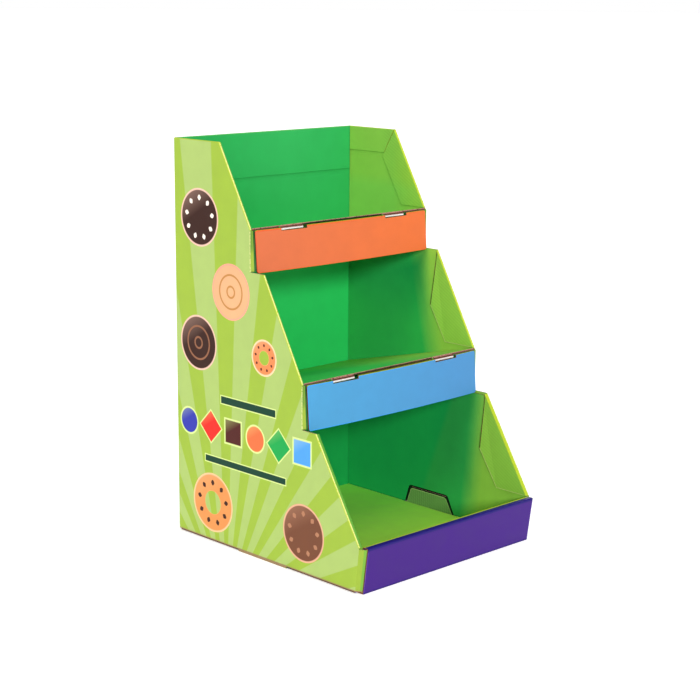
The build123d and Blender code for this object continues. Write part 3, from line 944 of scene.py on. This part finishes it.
@dataclass(frozen=True)
class SlopingShelf:
    """Shelf of one sheet that falls towards the back, with two tabs at its front edge."""
    node: str
    front_run: float
    front_height: float
    rise: float                 # fall towards the back over the whole run
    reflected: float            # share of lime that the side wall throws on the right part
    back_run: float = 1.9

    def dress(self, node: bpy.types.Object) -> None:
        """Print the shelf green above with painted light, reflection and shade, leave kraft below,
        and cut its front edge.

        Args:
            node: Object of the shelf.
        """
        run, height = self.front_run, self.front_height
        slope = math.atan(self.rise / (run - self.back_run))
        up = (0.0, -math.sin(slope), math.cos(slope))
        board = BoardMaterial("offset_printed_E_flute_" + self.node, INKS.shelf_green)
        board.paint(
            # painted reflection of the back wall, lighter towards the back of the shelf
            Area(INKS.reflected_shelf_green, (facing(UP), Limit(BACKWARD, -70.0, 90.0)), 0.9),
            # painted light that the side wall throws on the right part
            Area(INKS.fresh_green, (Limit(OUTWARD, 68.0, 125.0, Measure.POINT),), self.reflected),
            # painted shade along the sides and the back, where the shelf meets the walls
            Area(INKS.seam, (facing(UP), Limit(OUTWARD, 132.3, 0.5)), 0.6),
            Area(INKS.seam, (facing(UP), Limit(BACKWARD, -4.4, 0.5)), 0.6),
            Area(INKS.kraft, (facing(DOWN),)),
            Area(INKS.kraft, (facing(FORWARD, 0.9), Limit(BACKWARD, -10.0))),
            Area(INKS.kraft, (facing(INWARD, 0.8), Limit(BACKWARD, 6.0 - run))))
        forward = facing(FORWARD, 0.3)
        front = (forward, Limit(FORWARD, run - 3.0))
        start = up[1] * run + up[2] * (height + 0.3)
        board.cut(DARK_EDGE, board.inside(front), OUTWARD, up, start)
        seam = board.inside((*front, Limit(UP, height + 0.9)), 0.8)
        board.lay(INKS.shelf_seam, board.speckled(seam, 1.3, 0.4))
        board.paint(
            # painted shadow under the shelf's front edge, where the bowed lip stands off it
            Area(INKS.gap, (forward, Limit(INWARD, -66.0, 30.0),
                            *between(1, run - 3.0, run + 0.4), Limit(DOWN, -height - 1.0)), 0.95),
            Area(INKS.white, (forward, Limit(FORWARD, run + 1.9), Limit(DOWN, 1.3 - height))))
        board.washboard(OUTWARD, 0.5)
        board.bare_kraft(KRAFT, board.inside((facing(DOWN),)), OUTWARD)
        wear(node, board.close())


@dataclass(frozen=True)
class FrontLip:
    """Bowed front lip of one sheet with a folded top and two notches."""
    node: str
    material: str
    ink: str
    fold_shading: str
    right_shading: str
    front_run: float
    top: float
    foot: float

    def dress(self, node: bpy.types.Object) -> None:
        """Print the lip, with painted shading along its rounded top, foot and ends, and across it
        towards its right end.

        Args:
            node: Object of the lip.
        """
        board = BoardMaterial(self.material, self.ink)
        front = facing(FORWARD)
        board.paint(
            Area(INKS.white, (facing(BACKWARD),)),
            # painted shading along the rounded folds and ends, and across towards the right
            Area(self.fold_shading, (front, Limit(UP, self.top - 1.2, 0.8)), 0.8),
            Area(self.fold_shading, (front, Limit(DOWN, -self.foot - 0.8, 0.8)), 0.7),
            Area(self.fold_shading, (front, Limit(OUTWARD, 129.4, 0.8)), 0.7),
            Area(self.right_shading, (front, Limit(OUTWARD, 20.0, 260.0, Measure.POINT)), 0.8))
        rim = board.inside((facing(BACKWARD, -0.5), facing(FORWARD, -0.5)))
        board.cut(DARK_EDGE, rim, OUTWARD, FORWARD, self.front_run)
        board.paint(Area(INKS.rim, (facing(UP, 0.7, 0.2), Limit(UP, self.top - 1.0))))
        board.washboard(OUTWARD, 0.6)
        wear(node, board.close())


@dataclass(frozen=True)
class SoftLight:
    """Distant lamp behind a soft box: its energy, its width in degrees and where it shines."""
    name: str
    energy: float
    angle: float
    travel: Triple

    def hang(self) -> None:
        """Add the lamp to the scene."""
        lamp = bpy.data.lights.new(self.name, "SUN")
        lamp.energy = self.energy
        lamp.angle = math.radians(self.angle)
        light = bpy.data.objects.new(self.name, lamp)
        light.rotation_mode = "QUATERNION"
        light.rotation_quaternion = Vector(self.travel).to_track_quat("-Z", "Y")
        bpy.context.scene.collection.objects.link(light)


@dataclass(frozen=True)
class Viewpoint:
    """Camera where the outlines of the stand in the photograph put it: metres and radians."""
    focal_pixels: float = 1662.9
    frame_pixels: int = 700
    sensor: float = 36.0
    clip: tuple[float, float] = (0.05, 200.0)
    eye: Triple = (-1.27106, -1.29946, 0.60467)
    yaw: float = 0.77021
    pitch: float = 0.21069
    roll: float = 0.00699

    def aim(self) -> None:
        """Add the camera and make it the scene's own."""
        sine, cosine = math.sin(self.yaw), math.cos(self.yaw)
        sight = Vector((sine * math.cos(self.pitch), cosine * math.cos(self.pitch),
                        -math.sin(self.pitch)))
        level = Vector((cosine, -sine, 0.0))
        above = level.cross(sight)
        right = math.cos(self.roll) * level + math.sin(self.roll) * above
        top = math.cos(self.roll) * above - math.sin(self.roll) * level
        turn = Matrix((right, top, -sight)).transposed().to_4x4()
        lens = bpy.data.cameras.new("camera")
        lens.sensor_width = self.sensor
        lens.lens = self.focal_pixels * self.sensor / self.frame_pixels
        lens.clip_start, lens.clip_end = self.clip
        camera = bpy.data.objects.new("camera", lens)
        camera.matrix_world = Matrix.Translation(Vector(self.eye)) @ turn
        bpy.context.scene.collection.objects.link(camera)
        bpy.context.scene.camera = camera


@dataclass(frozen=True)
class Studio:
    """Pale paper floor and white surroundings; the floor's sizes are in metres."""
    floor_radius: float = 60.0
    floor_sides: int = 64
    floor_drop: float = 0.0003  # keeps the paper clear of the board that stands on it
    floor: str = "#F6F6F5"
    floor_glow: float = 0.3
    floor_roughness: float = 0.9
    floor_specular: float = 0.1
    sky: float = 0.25
    horizon: float = 1.0
    horizon_band: tuple[float, float] = (0.06, 0.16)    # rise over which it fades to the sky

    def build(self) -> None:
        """Make the floor and the surroundings, and show colours as they are."""
        self._lay_floor()
        self._surround()
        bpy.context.scene.view_settings.view_transform = "Standard"

    def _lay_floor(self) -> None:
        """Lay a round matte floor under the stand, a little luminous like lit-up studio paper."""
        angles = [math.tau * i / self.floor_sides for i in range(self.floor_sides)]
        rim = [(self.floor_radius * math.cos(a), self.floor_radius * math.sin(a),
                -self.floor_drop) for a in angles]
        mesh = bpy.data.meshes.new("studio_floor")
        mesh.from_pydata(rim, [], [list(range(self.floor_sides))])
        floor = bpy.data.objects.new("studio_floor", mesh)
        bpy.context.scene.collection.objects.link(floor)
        material = bpy.data.materials.new("matte_studio_paper")
        material.use_nodes = True
        material.node_tree.nodes.clear()
        shader = add_node(material.node_tree, "BsdfPrincipled", {
            "Base Color": linear(self.floor), "Roughness": self.floor_roughness,
            "Specular IOR Level": self.floor_specular,
            "Emission Color": linear(WHITE), "Emission Strength": self.floor_glow})
        add_node(material.node_tree, "OutputMaterial", {"Surface": shader})
        mesh.materials.append(material)
        LOG.info("floor laid")

    def _surround(self) -> None:
        """Add white surroundings, brightest at the horizon."""
        world = bpy.data.worlds.new("white_studio")
        world.use_nodes = True
        tree = world.node_tree
        tree.nodes.clear()
        heading = add_node(tree, "SeparateXYZ", {
            0: add_node(tree, "TexCoord").outputs["Generated"]})
        strength = add_node(tree, "MapRange", {
            "Value": heading.outputs["Z"], "From Min": self.horizon_band[0],
            "From Max": self.horizon_band[1], "To Min": self.horizon, "To Max": self.sky})
        glow = add_node(tree, "Background", {"Color": linear(WHITE), "Strength": strength})
        add_node(tree, "OutputWorld", {"Surface": glow})
        bpy.context.scene.world = world


SHEETS = (
    OuterShell(), BaseTray(),
    SlopingShelf("middle_shelf", 210.5, 206.5, rise=48.0, reflected=0.95),
    SlopingShelf("top_shelf", 129.0, 360.5, rise=45.0, reflected=0.4),
    FrontLip("middle_lip", "offset_printed_E_flute_blue", INKS.blue, INKS.blue_fold_shading,
             INKS.blue_right_shading, 212.7, 206.0, 157.7),
    FrontLip("top_lip", "offset_printed_E_flute_orange", INKS.orange, INKS.orange_fold_shading,
             INKS.orange_right_shading, 131.2, 360.0, 314.7))
LIGHTS = (
    SoftLight("soft_key", 0.38, 14.0, (1.0, 0.23, -0.6)),
    SoftLight("front_fill", 2.42, 9.0, (0.612, 0.742, -0.28)),
    SoftLight("overhead", 1.6, 50.0, (0.12, 0.3, -1.0)),
    SoftLight("rear_fill", 0.9, 30.0, (-0.8, -0.5, -0.35)))


def main() -> None:
    """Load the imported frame, dress each sheet and set up the studio."""
    logging.basicConfig(level=logging.INFO, format="%(name)s: %(message)s")
    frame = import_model()
    for sheet in SHEETS:
        sheet.dress(frame["nodes"][sheet.node])
    Studio().build()
    for light in LIGHTS:
        light.hang()
    Viewpoint().aim()


if __name__ == "__main__":
    main()
